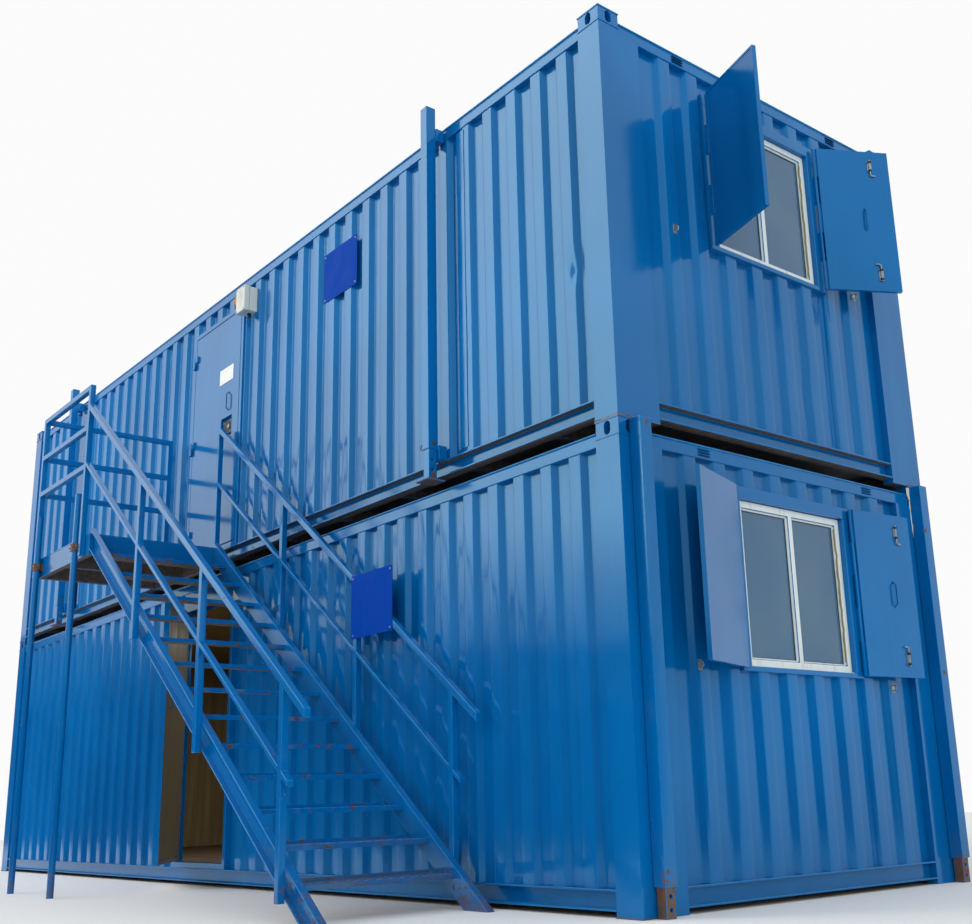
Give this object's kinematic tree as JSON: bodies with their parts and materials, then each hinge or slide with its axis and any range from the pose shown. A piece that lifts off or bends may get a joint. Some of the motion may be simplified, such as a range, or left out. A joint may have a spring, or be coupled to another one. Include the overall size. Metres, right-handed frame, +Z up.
{
  "type": "portable site cabin",
  "caption": "Stacked steel site cabins with ribbed blue walls, jack legs, hinged window shutters, a hinged door, and an outside steel stair with landing, handrails and tube supports.",
  "frame": {"origin": "on the ground, under the middle of the whole assembly's extents", "axes": "+X along the long sides to the window end, the doors and the stair face -Y, +Z up"},
  "size_m": [10.3527, 4.0769, 4.965],
  "materials": {
    "blue_paint": "gloss site paint over steel",
    "white_frame": "white window profile",
    "glass": "clear pane",
    "lining_board": "beige faced lining board",
    "floor_board": "worn floor board",
    "box_plastic": "off-white moulded box"
  },
  "bodies": {
    "cabins": {"landing_deck": "blue_paint", "landing_frame": "blue_paint", "landing_guardrail": "blue_paint", "lower_back_wall": "blue_paint", "lower_base_frame": "blue_paint", "lower_corner_posts": "blue_paint", "lower_door_frame": "blue_paint", "lower_far_end_wall": "blue_paint", "lower_floor": "floor_board", "lower_front_wall_far": "blue_paint", "lower_front_wall_near": "blue_paint", "lower_front_wall_over_door": "blue_paint", "lower_jack_legs": "blue_paint", "lower_lining": "lining_board", "lower_roof": "blue_paint", "lower_top_rails": "blue_paint", "lower_window_frame": "white_frame", "lower_window_glass": "glass", "lower_window_wall": "blue_paint", "scaffold_legs": "blue_paint", "stair_handrail_inner": "blue_paint", "stair_handrail_outer": "blue_paint", "stair_stringers": "blue_paint", "stair_treads": "blue_paint", "supply_boxes": "box_plastic", "upper_back_wall": "blue_paint", "upper_base_frame": "blue_paint", "upper_corner_posts": "blue_paint", "upper_door": "blue_paint", "upper_door_frame": "blue_paint", "upper_far_end_wall": "blue_paint", "upper_floor": "floor_board", "upper_front_wall": "blue_paint", "upper_jack_legs": "blue_paint", "upper_lining": "lining_board", "upper_roof": "blue_paint", "upper_top_rails": "blue_paint", "upper_window_frame": "white_frame", "upper_window_glass": "glass", "upper_window_wall": "blue_paint", "wall_fittings": "blue_paint"},
    "lower_door_leaf": {"lower_door": "blue_paint"},
    "lower_left_shutter": {"lower_shutter_left": "blue_paint"},
    "lower_right_shutter": {"lower_shutter_right": "blue_paint"},
    "upper_left_shutter": {"upper_shutter_left": "blue_paint"},
    "upper_right_shutter": {"upper_shutter_right": "blue_paint"}
  },
  "joints": [
    {"name": "lower_door_hinge", "type": "hinge", "parent": "cabins", "child": "lower_door_leaf", "pos_m": [-0.62088, -0.8605, 0.178], "axis": [0, 0, -1], "range_deg": [-33, 77]},
    {"name": "lower_left_shutter_hinge", "type": "hinge", "parent": "cabins", "child": "lower_left_shutter", "pos_m": [4.68612, 0.00548, 1.19], "axis": [0, 0, -1], "range_deg": [-161, 15]},
    {"name": "lower_right_shutter_hinge", "type": "hinge", "parent": "cabins", "child": "lower_right_shutter", "pos_m": [4.68612, 1.04152, 1.19], "axis": [0, 0, 1], "range_deg": [-174, 2]},
    {"name": "upper_left_shutter_hinge", "type": "hinge", "parent": "cabins", "child": "upper_left_shutter", "pos_m": [4.68612, 0.00548, 3.635], "axis": [0, 0, -1], "range_deg": [-106, 70]},
    {"name": "upper_right_shutter_hinge", "type": "hinge", "parent": "cabins", "child": "upper_right_shutter", "pos_m": [4.68612, 1.04152, 3.635], "axis": [0, 0, 1], "range_deg": [-150, 26]}
  ]
}
